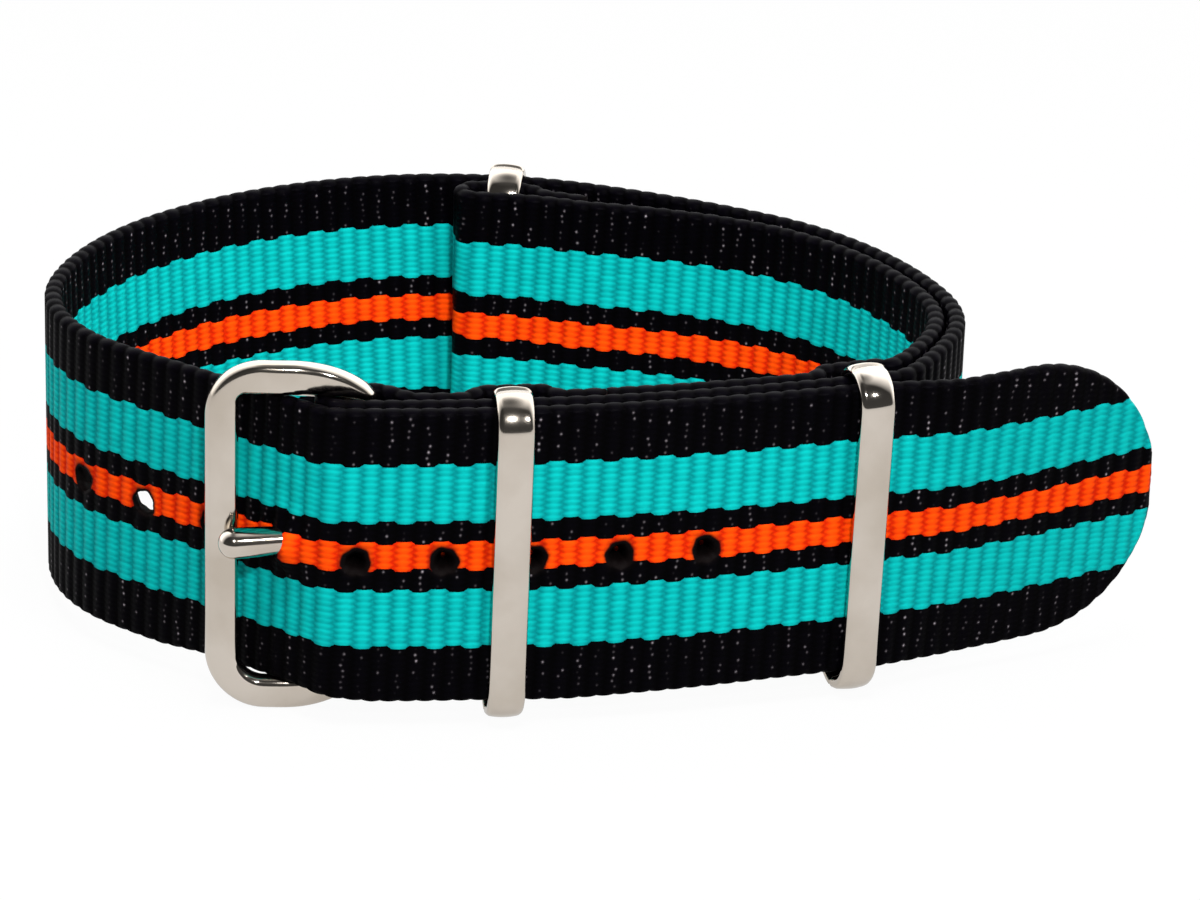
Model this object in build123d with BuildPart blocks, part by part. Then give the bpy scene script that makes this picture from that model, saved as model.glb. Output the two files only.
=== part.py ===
"""Striped textile watch strap, closed: webbing loop, pass-through buckle and three keepers.

Plan view: the buckle and the tail are at the front (-Y), the wrist space is in the middle.
The strap stands on its lower edge, so its width runs along Z.
"""

import os
from math import atan, cos, degrees, radians, sin, sqrt, tan

from build123d import *

os.makedirs("parts", exist_ok=True)

# Webbing
strap_width = 22.0
webbing = 1.3
layer_gap = 0.25
weld_depth = 0.05
weld_gap = 0.02

# Tail and its punched holes
tail_length = 61.7
tip_length = 9.0
front_radius = 128.0
front_heading = 3.8
hole_diameter = 2.1
hole_pitch = 6.3
holes_before_tongue = 3
holes_after_tongue = 5

# Loop seen from above
loop_radius = 30.0
approach_angle = 35.0
approach_length = 13.4

# Laps that hold the keepers
lap_slope = 36.0
lap_tight = 0.4
pocket_gap = 0.1
pocket_room = 0.15
flap_weld = 3.0
butt_gap = 0.6
end_lap = 7.8
fold_slack = 0.45

# Keepers
keeper_width = 3.1
keeper_band = 1.1
keeper_corner = 2.2
keeper_inner_corner = 0.3
keeper_edge = 0.2
keeper_play = 0.3
keeper_clearance = 0.2
keeper_front_at = 12.2
keeper_middle_at = 38.4
keeper_end_at = 63.4

# Buckle
hinge_x = -17.65
hinge_y = -22.61
pin_diameter = 1.0
pin_inset = 0.6
pin_fit = 0.01
window_gap = 0.4
side_bar = 1.8
front_bar = 2.25
bar_gap = 0.3
ear_reach = 2.0
frame_thickness = 1.6
frame_arch = 22.0
frame_corner = 4.0
window_corner = 1.2

# Tongue
tongue_short = 0.5
tongue_neck = 1.6
tongue_tip = 2.1
tongue_play = 1.1
eye_wall = 0.8
eye_clearance = 0.06
eye_room = 0.4
rest_gap = 0.08

overrun = 1.0

# Heights
frame_height = strap_width + 2 * (window_gap + side_bar)
keeper_height = strap_width + 2 * (keeper_clearance + keeper_band)
strap_bottom = (frame_height - strap_width) / 2
strap_middle = frame_height / 2

# Radii about the hinge pin, from the pin outwards
fold_inner = pin_diameter / 2 + fold_slack
fold_outer = fold_inner + webbing
tail_over_pin = fold_outer + layer_gap + webbing

# Depths below the outer face of the tail
second_layer = webbing + layer_gap
second_back = second_layer + webbing
pocket = keeper_band + 2 * pocket_gap

# Distances along the front, from the pin
pocket_half = keeper_width / 2 + keeper_play + pocket_room
ramp = pocket / tan(radians(lap_slope))
flap_length = keeper_front_at + pocket_half + ramp + flap_weld
short_start = flap_length + butt_gap
loop_start = keeper_middle_at + pocket_half

# The front of the strap is an arc about this centre
front_centre_x = hinge_x - (front_radius - tail_over_pin) * sin(radians(front_heading))
front_centre_y = hinge_y + (front_radius - tail_over_pin) * cos(radians(front_heading))

# Bends of the loop's outer face, from the middle keeper round the back to the buckle: share of the
# whole turn, and radius as a share of loop_radius. The two without a radius are sized to close the loop.
loop_bend_shares = [
    (0.1243, 0.14),
    (0.0403, 1.15),
    (0.1266, 0.47),
    (0.1338, 1.00),
    (0.0363, 2.64),
    (0.1984, None),
    (0.1366, 0.97),
    (0.1931, None),
    (0.0106, 3.00),
]


def front(distance, depth):
    """A point on the front of the strap, by distance from the pin and depth below the tail's face."""
    angle = radians(front_heading) + distance / front_radius
    radius = front_radius - depth
    return (front_centre_x + radius * sin(angle), front_centre_y - radius * cos(angle))


def front_turn(distance):
    """Heading of the strap in degrees at a distance from the pin."""
    return front_heading + degrees(distance / front_radius)


def about_pin(angle, radius):
    """A point round the hinge pin; angle in degrees from straight outwards, positive to the right."""
    turn = radians(front_heading + angle)
    return (hinge_x + radius * sin(turn), hinge_y - radius * cos(turn))


def approach(distance, depth):
    """A point on the straight run that comes in to the buckle, measured back from the pin's bend."""
    turn = radians(approach_angle)
    radius = tail_over_pin - depth
    return (
        hinge_x - radius * sin(turn) - distance * cos(turn),
        hinge_y - radius * cos(turn) + distance * sin(turn),
    )


def bends(start, heading, end, end_heading):
    """The loop's bends as centre, first and last heading in radians, and radius."""
    whole = radians(end_heading - heading)
    facing = radians(heading)
    left_x, left_y = end[0] - start[0], end[1] - start[1]
    steps, unsized = [], []
    for turn_share, radius_share in loop_bend_shares:
        onward = facing + turn_share * whole
        step_x, step_y = sin(onward) - sin(facing), cos(facing) - cos(onward)
        steps.append((facing, onward, radius_share))
        if radius_share is None:
            unsized.append((step_x, step_y))
        else:
            left_x -= radius_share * loop_radius * step_x
            left_y -= radius_share * loop_radius * step_y
        facing = onward
    (ax, ay), (bx, by) = unsized
    across = ax * by - ay * bx
    sized = [(left_x * by - left_y * bx) / across, (ax * left_y - ay * left_x) / across]
    x, y = start
    result = []
    for facing, onward, radius_share in steps:
        radius = sized.pop(0) if radius_share is None else radius_share * loop_radius
        centre_x, centre_y = x - radius * sin(facing), y + radius * cos(facing)
        result.append((centre_x, centre_y, facing, onward, radius))
        x, y = centre_x + radius * sin(onward), centre_y - radius * cos(onward)
    return result


loop_bends = bends(
    front(loop_start, second_layer),
    front_turn(loop_start),
    approach(approach_length, 0),
    360 - approach_angle,
)
outer_length = sum(radius * (onward - facing) for _, _, facing, onward, radius in loop_bends)


def loop_turn(distance):
    """The bend and the heading in radians at a distance along the loop's outer face."""
    for bend in loop_bends:
        _, _, facing, onward, radius = bend
        length = radius * (onward - facing)
        if distance <= length or bend is loop_bends[-1]:
            return bend, facing + distance / radius
        distance -= length


def loop(distance, depth):
    """A point on the loop, by distance from the middle keeper and depth below its outer face."""
    (centre_x, centre_y, _, _, radius), angle = loop_turn(distance)
    return (centre_x + (radius - depth) * sin(angle), centre_y - (radius - depth) * cos(angle))


def arc_about_pin(start, end, radius):
    """An arc round the hinge pin between two angles from straight outwards."""
    middle = (start + end) / 2
    return ThreePointArc(about_pin(start, radius), about_pin(middle, radius), about_pin(end, radius))


def front_arc(start, end, depth):
    """An arc along the front of the strap at one depth."""
    return ThreePointArc(front(start, depth), front((start + end) / 2, depth), front(end, depth))


def lap(place, corners):
    """A lap of webbing over the strap: straight runs joined by arcs, closed at both ends.

    A corner is distance, height of the near face, and 1 on a rising ramp or -1 on a falling one.
    """
    heights = [height for _, height, _ in corners]
    crests = [here > min(before, after) for before, here, after in zip(heights, heights[1:], heights[2:])]
    near_radii = [lap_tight if crest else lap_tight + webbing for crest in crests]
    far_radii = [lap_tight + webbing if crest else lap_tight for crest in crests]
    near = FilletPolyline(*[place(at, height) for at, height, _ in corners], radius=near_radii)
    far = FilletPolyline(
        *[place(at - rise * lap_shift, height + webbing) for at, height, rise in corners], radius=far_radii
    )
    Line(near @ 0, far @ 0)
    Line(near @ 1, far @ 1)


# Where a lap bends by its slope, its far face bends this much earlier than its near face
lap_shift = webbing * tan(radians(lap_slope / 2))


# Long strap: tail, run in to the buckle, loop, second layer at the front, fold round the pin
def long_strap_side(depth):
    """One long line of the strap's plan, from the tail's tip to the fold's end."""
    front_arc(tail_length, 0, depth)
    arc_about_pin(0, -approach_angle - front_heading, tail_over_pin - depth)
    Line(approach(0, depth), approach(approach_length, depth))
    for centre_x, centre_y, facing, onward, radius in loop_bends:
        across = radius - depth
        ThreePointArc(
            *[
                (centre_x + across * sin(angle), centre_y - across * cos(angle))
                for angle in (facing, (facing + onward) / 2, onward)
            ]
        )
    front_arc(loop_start, 0, second_layer + depth)
    arc_about_pin(0, -180, fold_outer - depth)


# Tongue seen from above: it leans out from the frame to rest on the front bar
bar_slope = radians(approach_angle + front_heading)
bar_inner = (tail_over_pin + bar_gap + frame_thickness / 2 * cos(bar_slope)) / sin(bar_slope)
frame_reach = bar_inner + front_bar
bar_middle = frame_reach - front_bar / 2
arch_rise = (bar_middle / 2) ** 2 / (2 * frame_arch) - (bar_inner - bar_middle / 2) ** 2 / (2 * frame_arch)
arm_lean = degrees(atan((frame_thickness / 2 + arch_rise + rest_gap + tongue_tip / 2) / bar_inner))
arm_heading = radians(180 + front_heading + arm_lean)
tongue_reach = frame_reach - tongue_short

# Where the tongue's arm crosses the middle of the tail, from the pin and along the tail
crossing_angle = radians(arm_lean + front_heading + approach_angle)
crossing = (tail_over_pin - webbing / 2) / sin(crossing_angle)
crossing_back = -crossing * cos(arm_heading + radians(approach_angle))
slot_length = tongue_neck / sin(crossing_angle) + webbing / tan(crossing_angle) + tongue_play


def tail_path(distance):
    """Plane on the outer face of the tail, facing out, at a distance beyond the tongue's hole."""
    bend = radians(approach_angle + front_heading) * tail_over_pin
    onto_front = distance - crossing_back
    loop_run = -onto_front - approach_length
    if loop_run > 0:
        place = loop(outer_length - loop_run, 0)
        turn = loop_turn(outer_length - loop_run)[1]
    elif onto_front < 0:
        place, turn = approach(-onto_front, 0), radians(-approach_angle)
    elif onto_front < bend:
        angle = degrees(onto_front / tail_over_pin) - approach_angle - front_heading
        place, turn = about_pin(angle, tail_over_pin), radians(angle + front_heading)
    else:
        place, turn = front(onto_front - bend, 0), radians(front_turn(onto_front - bend))
    return Plane(
        origin=(place[0], place[1], strap_middle),
        x_dir=(cos(turn), sin(turn), 0),
        z_dir=(sin(turn), -cos(turn), 0),
    )


pin_plane = Plane(
    origin=(hinge_x, hinge_y, strap_middle),
    x_dir=(cos(radians(front_heading)), sin(radians(front_heading)), 0),
    z_dir=(0, 0, 1),
)
eye_outer = pin_diameter / 2 + eye_clearance + eye_wall
eye_slot = tongue_tip + 2 * eye_room
fold_height = second_back + 2 * fold_inner
fold_run = eye_outer + eye_room

with BuildPart() as long_strap:
    with BuildSketch(Plane.XY.offset(strap_bottom)):
        with BuildLine():
            long_strap_side(0)
            long_strap_side(webbing)
            Line(front(tail_length, 0), front(tail_length, webbing))
            Line(about_pin(-180, fold_outer), about_pin(-180, fold_inner))
        make_face()
        with BuildLine():
            weld = second_back - weld_depth
            lap(
                front,
                [
                    (0, fold_height, 0),
                    (fold_run, fold_height, -1),
                    (fold_run + (fold_height - weld) / tan(radians(lap_slope)), weld, -1),
                    (keeper_front_at - pocket_half - ramp, weld, 1),
                    (keeper_front_at - pocket_half, second_back + pocket, 1),
                    (keeper_front_at + pocket_half, second_back + pocket, -1),
                    (keeper_front_at + pocket_half + ramp, weld, -1),
                    (flap_length, weld, 0),
                ],
            )
        make_face()
    extrude(amount=strap_width)

    # Rounded tip, cut square to the tail
    tip_turn = radians(front_turn(tail_length))
    tip_spot = front(tail_length, 0)
    with BuildSketch(
        Plane(
            origin=(tip_spot[0], tip_spot[1], strap_middle),
            x_dir=(cos(tip_turn), sin(tip_turn), 0),
            z_dir=(sin(tip_turn), -cos(tip_turn), 0),
        )
    ):
        with Locations((-tip_length / 2, 0)):
            Rectangle(tip_length + overrun, strap_width + overrun)
        with Locations((-tip_length, 0)):
            Ellipse(tip_length, strap_width / 2, mode=Mode.SUBTRACT)
    extrude(amount=2 * webbing, both=True, mode=Mode.SUBTRACT)

    # Punched holes along the tail, the one in use drawn out by the tongue
    for number in range(-holes_before_tongue, holes_after_tongue + 1):
        with BuildSketch(tail_path(number * hole_pitch)):
            if number == 0:
                SlotOverall(slot_length, hole_diameter)
            else:
                Circle(hole_diameter / 2)
        extrude(amount=webbing + layer_gap / 2, both=True, mode=Mode.SUBTRACT)

    # Slot in the fold for the tongue's eye
    with BuildSketch(pin_plane):
        Circle(fold_outer + layer_gap / 2)
        with Locations((fold_run / 2, 0)):
            Rectangle(fold_run, 2 * fold_outer + layer_gap)
    extrude(amount=eye_slot / 2, both=True, mode=Mode.SUBTRACT)

long_strap.part.label = "long_strap"
export_step(long_strap.part, "parts/long_strap.step")

# Short strap: butts against the flap, holds the middle keeper, lies inside the loop, folds at its end
near_weld = second_back + weld_gap
keeper_end_depth = second_layer
end_fold_inner = keeper_band / 2 + pocket_gap
end_fold_middle = keeper_end_depth + webbing + end_fold_inner
end_near = end_fold_middle + end_fold_inner
run_length = keeper_end_at - end_lap

# Its near face inside the loop: share of the run, and depth in webbing thicknesses
near_face_shares = [
    (0.025, 1.80),
    (0.05, 1.45),
    (0.09, 1.22),
    (0.15, 1.18),
    (0.27, 1.18),
    (0.40, 1.18),
    (0.50, 1.23),
    (0.60, 1.37),
    (0.70, 1.56),
    (0.80, 1.90),
    (0.90, 2.50),
]


def run_line(depth):
    """The run of the short strap inside the loop, as arcs through three points each."""
    points = [front(loop_start, second_back + pocket + depth)]
    points += [loop(share * run_length, near * webbing + depth) for share, near in near_face_shares]
    points += [loop(run_length, end_near + depth)]
    for first, middle, last in zip(points[::2], points[1::2], points[2::2]):
        ThreePointArc(first, middle, last)


def from_fold(distance, depth):
    """A point at the back, by distance from the short strap's end fold towards its start."""
    return loop(keeper_end_at + pocket_half - distance, depth)


with BuildPart() as short_strap:
    with BuildSketch(Plane.XY.offset(strap_bottom)):
        with BuildLine():
            lap(
                front,
                [
                    (short_start, near_weld, 0),
                    (keeper_middle_at - pocket_half - ramp, near_weld, 1),
                    (keeper_middle_at - pocket_half, second_back + pocket, 1),
                    (loop_start, second_back + pocket, 0),
                ],
            )
        make_face()
        with BuildLine():
            run_line(0)
            run_line(webbing)
            Line(front(loop_start, second_back + pocket), front(loop_start, second_back + pocket + webbing))
            Line(loop(run_length, end_near), loop(run_length, end_near + webbing))
        make_face()
        with BuildLine():
            for depth in (end_near, end_near + webbing):
                ThreePointArc(
                    from_fold(0, depth),
                    from_fold((pocket_half + end_lap) / 2, depth),
                    from_fold(pocket_half + end_lap, depth),
                )
            fold_turn = loop_turn(keeper_end_at + pocket_half)[1]
            for reach in (end_fold_inner, end_fold_inner + webbing):
                fold_x, fold_y = from_fold(0, end_fold_middle)
                ThreePointArc(
                    from_fold(0, end_fold_middle + reach),
                    (fold_x + reach * cos(fold_turn), fold_y + reach * sin(fold_turn)),
                    from_fold(0, end_fold_middle - reach),
                )
            Line(loop(run_length, end_near), loop(run_length, end_near + webbing))
            Line(from_fold(0, keeper_end_depth), from_fold(0, keeper_end_depth + webbing))
        make_face()
        with BuildLine():
            end_weld = end_near - webbing + weld_depth
            fold_end = 2 * pocket_half + lap_shift
            lap(
                from_fold,
                [
                    (0, keeper_end_depth, 0),
                    (fold_end, keeper_end_depth, 1),
                    (fold_end + (end_weld - keeper_end_depth) / tan(radians(lap_slope)), end_weld, 1),
                    (pocket_half + end_lap, end_weld, 0),
                ],
            )
        make_face()
    extrude(amount=strap_width)

short_strap.part.label = "short_strap"
export_step(short_strap.part, "parts/short_strap.step")

# Keepers: one bent band, made three times
keeper_inner = second_back + pocket_gap + keeper_clearance
keeper_places = {
    "keeper_front": (front(keeper_front_at, 0), radians(front_turn(keeper_front_at))),
    "keeper_middle": (front(keeper_middle_at, 0), radians(front_turn(keeper_middle_at))),
    "keeper_end": (loop(keeper_end_at, 0), loop_turn(keeper_end_at)[1]),
}
for keeper_name, (spot, turn) in keeper_places.items():
    # Seen along the strap: X inwards from the outer face, Y up
    across = Plane(
        origin=(spot[0], spot[1], strap_middle),
        x_dir=(-sin(turn), cos(turn), 0),
        z_dir=(cos(turn), sin(turn), 0),
    )
    with BuildPart() as keeper:
        with BuildSketch(across):
            with Locations((keeper_inner / 2 - keeper_clearance, 0)):
                RectangleRounded(keeper_inner + 2 * keeper_band, keeper_height, keeper_corner)
        extrude(amount=keeper_width / 2, both=True)
        chamfer(keeper.faces().filter_by(across).edges(), length=keeper_edge)
        with BuildSketch(across):
            with Locations((keeper_inner / 2 - keeper_clearance, 0)):
                RectangleRounded(keeper_inner, keeper_height - 2 * keeper_band, keeper_inner_corner)
        extrude(amount=keeper_width, both=True, mode=Mode.SUBTRACT)
    keeper.part.label = keeper_name
    export_step(keeper.part, f"parts/{keeper_name}.step")

# Buckle frame: an arched band seen from above, cut to an open C seen from the front
rise = frame_arch - sqrt(frame_arch**2 - (bar_middle / 2) ** 2)
with BuildPart() as buckle_frame:
    with BuildSketch(pin_plane.offset(-frame_height / 2)):
        with Locations((-bar_middle / 2, frame_arch - rise)):
            Circle(frame_arch + frame_thickness / 2)
            Circle(frame_arch - frame_thickness / 2, mode=Mode.SUBTRACT)
        with Locations((-bar_middle / 2, -frame_arch)):
            Rectangle(2 * frame_reach, 2 * frame_arch + 2 * frame_thickness, mode=Mode.INTERSECT)
    extrude(amount=frame_height)
    front_view = Plane(origin=pin_plane.origin, x_dir=pin_plane.x_dir, z_dir=-pin_plane.y_dir)
    with BuildSketch(front_view):
        with Locations(((ear_reach - frame_reach) / 2, 0)):
            RectangleRounded(frame_reach + ear_reach, frame_height, frame_corner)
        window_length = bar_inner + ear_reach + window_corner + overrun
        with Locations((window_length / 2 - bar_inner, 0)):
            RectangleRounded(window_length, frame_height - 2 * side_bar, window_corner, mode=Mode.SUBTRACT)
    extrude(amount=frame_arch, both=True, mode=Mode.INTERSECT)
    with BuildSketch(pin_plane):
        Circle(pin_diameter / 2 + pin_fit)
    extrude(amount=frame_height, both=True, mode=Mode.SUBTRACT)

buckle_frame.part.label = "buckle_frame"
export_step(buckle_frame.part, "parts/buckle_frame.step")

# Hinge pin
with BuildPart() as hinge_pin:
    with BuildSketch(pin_plane):
        Circle(pin_diameter / 2)
    extrude(amount=frame_height / 2 - pin_inset, both=True)

hinge_pin.part.label = "hinge_pin"
export_step(hinge_pin.part, "parts/hinge_pin.step")

# Tongue: an eye round the pin and a turned arm that swells towards its rounded tip
arm_direction = (cos(arm_heading), sin(arm_heading), 0)
arm_plane = Plane(origin=pin_plane.origin, x_dir=arm_direction, z_dir=(arm_direction[1], -arm_direction[0], 0))
with BuildPart() as buckle_tongue:
    with BuildSketch(pin_plane):
        Circle(eye_outer)
    extrude(amount=tongue_neck / 2, both=True)
    with BuildSketch(arm_plane):
        with BuildLine():
            swell = tongue_reach - tongue_tip / 2
            profile = Polyline(
                (0, 0), (0, tongue_neck / 2), (crossing, tongue_neck / 2), (swell, tongue_tip / 2)
            )
            tip = tongue_tip / 2
            ThreePointArc(profile @ 1, (swell + tip * sin(radians(45)), tip * cos(radians(45))), (tongue_reach, 0))
            Line((tongue_reach, 0), (0, 0))
        make_face()
    revolve(axis=Axis(pin_plane.origin, arm_direction))
    with BuildSketch(pin_plane):
        Circle(pin_diameter / 2 + eye_clearance)
    extrude(amount=tongue_tip, both=True, mode=Mode.SUBTRACT)

buckle_tongue.part.label = "buckle_tongue"
export_step(buckle_tongue.part, "parts/buckle_tongue.step")
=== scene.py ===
"""Striped textile watch strap, closed through its buckle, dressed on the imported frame.

Sizes are millimetres and plan angles are radians; meshes and places become metres as they are made.
"""

from math import asin, cos, pi, radians, sin, sqrt, tan

import bmesh
import bpy
import numpy as np
from mathutils import Matrix, Vector


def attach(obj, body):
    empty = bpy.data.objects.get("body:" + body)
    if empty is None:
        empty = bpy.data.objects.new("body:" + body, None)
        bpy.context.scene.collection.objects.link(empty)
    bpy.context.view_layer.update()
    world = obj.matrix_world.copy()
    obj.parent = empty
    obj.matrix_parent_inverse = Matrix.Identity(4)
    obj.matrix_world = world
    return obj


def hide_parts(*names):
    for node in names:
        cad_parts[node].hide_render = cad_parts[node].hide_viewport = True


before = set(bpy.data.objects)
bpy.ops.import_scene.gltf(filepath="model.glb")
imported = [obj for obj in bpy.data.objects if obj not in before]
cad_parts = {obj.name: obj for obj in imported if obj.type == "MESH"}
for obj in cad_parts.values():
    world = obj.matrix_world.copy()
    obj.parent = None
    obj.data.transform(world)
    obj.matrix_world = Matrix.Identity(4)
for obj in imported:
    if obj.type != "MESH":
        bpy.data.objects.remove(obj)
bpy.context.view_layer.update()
MM = 0.001

# Hinge pin: a short length of polished stainless wire, pressed into the two ears of the buckle.
# It is the axis that the strap's fold, the frame and the tongue share.
hinge_x = -17.65
hinge_y = -22.61
strap_middle = 13.2
pin_diameter = 1.0
pin_length = 24.0
pin_full_share = 0.985
pin_end_share = 0.75
wire_sides = 32
steel_colour = (0.665, 0.60, 0.53, 1)
smudged_steel_colour = (0.56, 0.495, 0.42, 1)
steel_roughness = 0.09
scratch_depth = 0.006


class Wiring:
    """A node tree, with short ways to add nodes to it and to fill their inputs."""

    def __init__(self, tree):
        self.nodes = tree.nodes
        self.links = tree.links

    def fill(self, sockets, values):
        """Feeds sockets, by name or number, with outputs or plain values."""
        for key, value in values.items():
            if isinstance(value, bpy.types.NodeSocket):
                self.links.new(value, sockets[key])
            else:
                sockets[key].default_value = value

    def add(self, kind, inputs, **settings):
        """A new node with these settings and inputs."""
        node = self.nodes.new(kind)
        for setting, value in settings.items():
            setattr(node, setting, value)
        self.fill(node.inputs, inputs)
        return node

    def math(self, operation, *values, clamp=False):
        """The output of a Math node fed with sockets or numbers."""
        inputs = dict(enumerate(values))
        return self.add("ShaderNodeMath", inputs, operation=operation, use_clamp=clamp).outputs[0]

    def mixed(self, share, first, second):
        """A colour between two colours."""
        inputs = {"Factor": share, 6: first, 7: second}
        return self.add("ShaderNodeMix", inputs, data_type="RGBA").outputs[2]


def node_group(name, inputs, outputs, kind="ShaderNodeTree", out_kind="NodeSocketFloat"):
    """A node group with its wiring, what it is given and what it puts out."""
    group = bpy.data.node_groups.new(name, kind)
    for label, value in inputs.items():
        in_kind = "NodeSocketVector" if isinstance(value, tuple) else "NodeSocketFloat"
        socket = group.interface.new_socket(label, in_out="INPUT", socket_type=in_kind)
        socket.default_value = value
    for label in outputs:
        group.interface.new_socket(label, in_out="OUTPUT", socket_type=out_kind)
    tree = Wiring(group)
    given = tree.add("NodeGroupInput", {}).outputs
    put_out = tree.add("NodeGroupOutput", {}).inputs
    return group, tree, given, put_out


def new_material(name):
    """A material with its wiring and its Principled shader."""
    material = bpy.data.materials.new(name)
    material.use_nodes = True
    tree = Wiring(material.node_tree)
    return material, tree, tree.nodes["Principled BSDF"]


def fine_scratches():
    """Node group: the hairline marks and faint smudges of handled polished steel."""
    group, tree, given, put_out = node_group(
        "fine_scratches", {"Scratch size": 900.0, "Smudge size": 140.0}, ["Height", "Smudge"],
    )
    place = tree.add("ShaderNodeTexCoord", {}).outputs["Object"]
    stretch = tree.add("ShaderNodeMapping", {"Vector": place, "Scale": (0.06, 0.06, 1.0)})
    hairlines = tree.add("ShaderNodeTexNoise", {
        "Vector": stretch.outputs["Vector"], "Scale": given["Scratch size"], "Detail": 3.0,
    })
    smudges = tree.add("ShaderNodeTexNoise", {
        "Vector": place, "Scale": given["Smudge size"], "Detail": 4.0,
    })
    strong = tree.add("ShaderNodeMapRange", {
        "Value": smudges.outputs["Fac"], "From Min": 0.35, "From Max": 0.65,
    })
    tree.fill(put_out, {"Height": hairlines.outputs["Fac"], "Smudge": strong.outputs["Result"]})
    return group


def steel_material(name):
    """Polished stainless steel with hairlines and smudges."""
    material, tree, surface = new_material(name)
    marks = tree.add("ShaderNodeGroup", {}, node_tree=fine_scratches()).outputs
    spread = tree.add("ShaderNodeMapRange", {
        "Value": marks["Smudge"],
        "To Min": steel_roughness - 0.02,
        "To Max": steel_roughness + 0.06,
    })
    bump = tree.add("ShaderNodeBump", {
        "Strength": 0.25, "Distance": scratch_depth * MM, "Height": marks["Height"],
    })
    tree.fill(surface.inputs, {
        "Metallic": 1.0,
        "Base Color": tree.mixed(marks["Smudge"], steel_colour, smudged_steel_colour),
        "Roughness": spread.outputs["Result"],
        "Normal": bump.outputs["Normal"],
    })
    return material


polished_steel = steel_material("polished_steel")


def placed(name, data):
    """An object with this data, put in the scene."""
    piece = bpy.data.objects.new(name, data)
    bpy.context.scene.collection.objects.link(piece)
    return piece


def plain_mesh(name, points, faces, material, weave=None):
    """An object from millimetre points and faces, with its faces turned outwards.

    A woven mesh carries a weave value at each point and only drops the points that no face uses.
    """
    mesh = bpy.data.meshes.new(name)
    mesh.from_pydata((np.asarray(points) * MM).tolist(), [], faces)
    if weave is not None:
        attribute = mesh.attributes.new("weave", "FLOAT_VECTOR", "POINT")
        attribute.data.foreach_set("vector", weave.ravel())
    work = bmesh.new()
    work.from_mesh(mesh)
    if weave is None:
        bmesh.ops.remove_doubles(work, verts=work.verts, dist=1e-7)
        bmesh.ops.dissolve_degenerate(work, dist=1e-7, edges=work.edges)
    else:
        unused = [vertex for vertex in work.verts if not vertex.link_faces]
        bmesh.ops.delete(work, geom=unused, context="VERTS")
    bmesh.ops.recalc_face_normals(work, faces=work.faces)
    work.to_mesh(mesh)
    work.free()
    mesh.polygons.foreach_set("use_smooth", [True] * len(mesh.polygons))
    mesh.materials.append(material)
    return placed(name, mesh)


def joined_rings(count, size, closed=False):
    """Quads between rings of points that follow each other; the ends are capped unless closed."""
    faces = []
    for ring in range(count if closed else count - 1):
        here = ring * size
        there = (ring + 1) % count * size
        for k in range(size):
            after = (k + 1) % size
            faces.append((here + k, here + after, there + after, there + k))
    if not closed:
        faces.append(tuple(range(size)))
        faces.append(tuple(range((count - 1) * size, count * size)))
    return faces


def pin_mesh():
    """A round pin with slightly rounded ends."""
    points = []
    radius = pin_diameter / 2
    profile = [(-1, pin_end_share), (-pin_full_share, 1), (pin_full_share, 1), (1, pin_end_share)]
    for height, share in profile:
        for step in range(wire_sides):
            turn = 2 * pi * step / wire_sides
            points.append((
                hinge_x + radius * share * cos(turn),
                hinge_y + radius * share * sin(turn),
                strap_middle + height * pin_length / 2,
            ))
    return points, joined_rings(len(profile), wire_sides)


hinge_pin = plain_mesh("hinge_pin_steel", *pin_mesh(), polished_steel)
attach(hinge_pin, "buckle")
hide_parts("hinge_pin")


# Buckle frame: stamped from flat stainless strip as a C open towards the strap, bent on a shallow
# arch and tumbled until its edges are round. Its two ears end just behind the hinge pin.
front_heading = radians(3.8)
fold_inner = 0.95
webbing = 1.3
layer_gap = 0.25
fold_outer = fold_inner + webbing
tail_over_pin = fold_outer + layer_gap + webbing
frame_height = 26.6
frame_lift = 0.12
frame_thickness = 1.6
frame_arch = 22.0
side_bar = 2.4
front_bar = 2.4
frame_corner = 4.2
window_corner = 0.6
lower_window_corner = 1.8
ear_reach = 2.95
ear_slope = 7.0
ear_round = 5.0
ear_lip = 1.1
ear_tip_angle = 0.12
ear_inset = 0.1
ear_thinning = 0.9
bar_inner = 7.49
frame_reach = bar_inner + front_bar
bar_middle = frame_reach - front_bar / 2
frame_edge = 0.65


def rounded_section(half_width, half_depth, edge, steps=5):
    """Points round a rectangle with rounded corners, as width and depth offsets."""
    points = []
    for quarter in range(4):
        middle_x = (half_width - edge) * (1 if quarter in (0, 3) else -1)
        middle_y = (half_depth - edge) * (1 if quarter in (0, 1) else -1)
        for step in range(steps + 1):
            angle = (quarter + step / steps) * pi / 2
            points.append((middle_x + edge * cos(angle), middle_y + edge * sin(angle)))
    return points


def in_front_view(x, z, depth):
    """A point of the buckle: along the front from the pin, up from the middle, outwards from the arch."""
    rise = frame_arch - sqrt(frame_arch**2 - (bar_middle / 2) ** 2)
    y = frame_arch - rise - sqrt((frame_arch + depth) ** 2 - (x + bar_middle / 2) ** 2)
    return (
        hinge_x + x * cos(front_heading) - y * sin(front_heading),
        hinge_y + x * sin(front_heading) + y * cos(front_heading),
        strap_middle + frame_lift + z,
    )


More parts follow.
